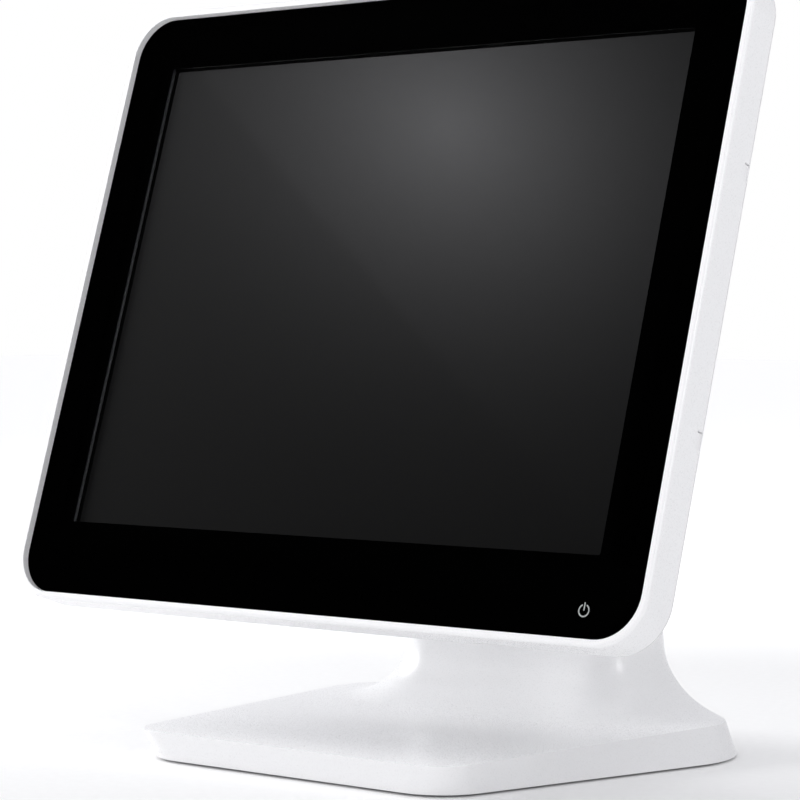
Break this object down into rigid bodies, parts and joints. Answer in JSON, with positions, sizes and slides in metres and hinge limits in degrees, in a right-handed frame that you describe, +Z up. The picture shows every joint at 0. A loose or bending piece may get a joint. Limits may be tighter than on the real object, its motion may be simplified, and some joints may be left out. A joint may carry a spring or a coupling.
{
  "type": "pos touchscreen terminal",
  "caption": "White point-of-sale touchscreen terminal: a flat glass-fronted display head that tilts on a friction hinge above a curved neck and a weighted square foot.",
  "frame": {"origin": "on the counter, under the middle of the foot", "axes": "+X to the cashier's right along the screen's width, +Y away from the cashier, +Z up"},
  "size_m": [0.3616, 0.2052, 0.3503],
  "materials": {
    "white_abs": "glossy moulded ABS",
    "cover_glass": "chemically strengthened touch glass",
    "black_print": "ceramic print fired on the back of the glass",
    "grey_print": "grey print behind the glass",
    "lcd_panel": "dark polariser film, matt",
    "lcd_metal": "bright rolled sheet",
    "backlight": "white backlight tray",
    "zinc_steel": "zinc plated sheet steel",
    "bracket_steel": "grey powder coat over steel",
    "shaft_steel": "ground steel",
    "screw_steel": "nickel plated screws",
    "ballast_iron": "rough casting",
    "rubber": "soft black rubber",
    "foam_tape": "black foam tape",
    "board_green": "solder mask over glass epoxy",
    "chip_black": "moulded epoxy",
    "heatsink": "black anodised extrusion",
    "port_metal": "tinned shells",
    "port_plastic": "black nylon",
    "drive_metal": "die cast drive case",
    "tray_plastic": "black moulded tray",
    "speaker_black": "moulded speaker box",
    "brass_washer": "friction washer"
  },
  "bodies": {
    "stand": {"base_shell": "white_abs", "base_plate": "zinc_steel", "rubber_feet": "rubber", "base_screws": "screw_steel", "ballast": "ballast_iron", "neck_frame": "zinc_steel", "hinge_bracket": "zinc_steel", "hinge_bracket_screws": "screw_steel"},
    "cable_cover": {"cable_cover": "white_abs"},
    "head": {"board_screws": "screw_steel", "board_standoffs": "zinc_steel", "border_print": "black_print", "bracket_posts": "zinc_steel", "bracket_screws": "screw_steel", "chassis_plate": "zinc_steel", "chassis_screws": "screw_steel", "cover_screws": "screw_steel", "dc_inlet": "port_plastic", "disc_springs": "shaft_steel", "drive_guides": "zinc_steel", "friction_washers": "brass_washer", "front_frame": "white_abs", "glass_tape": "foam_tape", "head_bracket": "bracket_steel", "heatsink": "heatsink", "hinge_caps": "white_abs", "hinge_nuts": "shaft_steel", "hinge_shafts": "shaft_steel", "lan_port": "port_metal", "lcd_bezel": "lcd_metal", "lcd_brackets": "zinc_steel", "lcd_cell": "lcd_panel", "lcd_tray": "backlight", "mainboard": "board_green", "memory_module": "board_green", "memory_socket": "port_plastic", "port_bracket": "zinc_steel", "power_key_board": "board_green", "power_mark": "grey_print", "processor": "chip_black", "rear_cover": "white_abs", "seam_hooks": "white_abs", "serial_port": "port_metal", "speakers": "speaker_black", "touch_controller": "board_green", "touch_glass": "cover_glass", "usb_ports": "port_metal"},
    "drive": {"drive_tray": "tray_plastic", "storage_drive": "drive_metal"}
  },
  "joints": [
    {"name": "head_tilt", "type": "hinge", "parent": "stand", "child": "head", "pos_m": [0, 0.0185, 0.141], "axis": [1, 0, 0], "range_deg": [-40, 15]},
    {"name": "cable_cover_slide", "type": "slide", "parent": "stand", "child": "cable_cover", "axis": [0, 1, 0], "range_m": [0, 0.04]},
    {"name": "drive_slide", "type": "slide", "parent": "head", "child": "drive", "axis": [1, 0, 0], "range_m": [0, 0.11]}
  ]
}
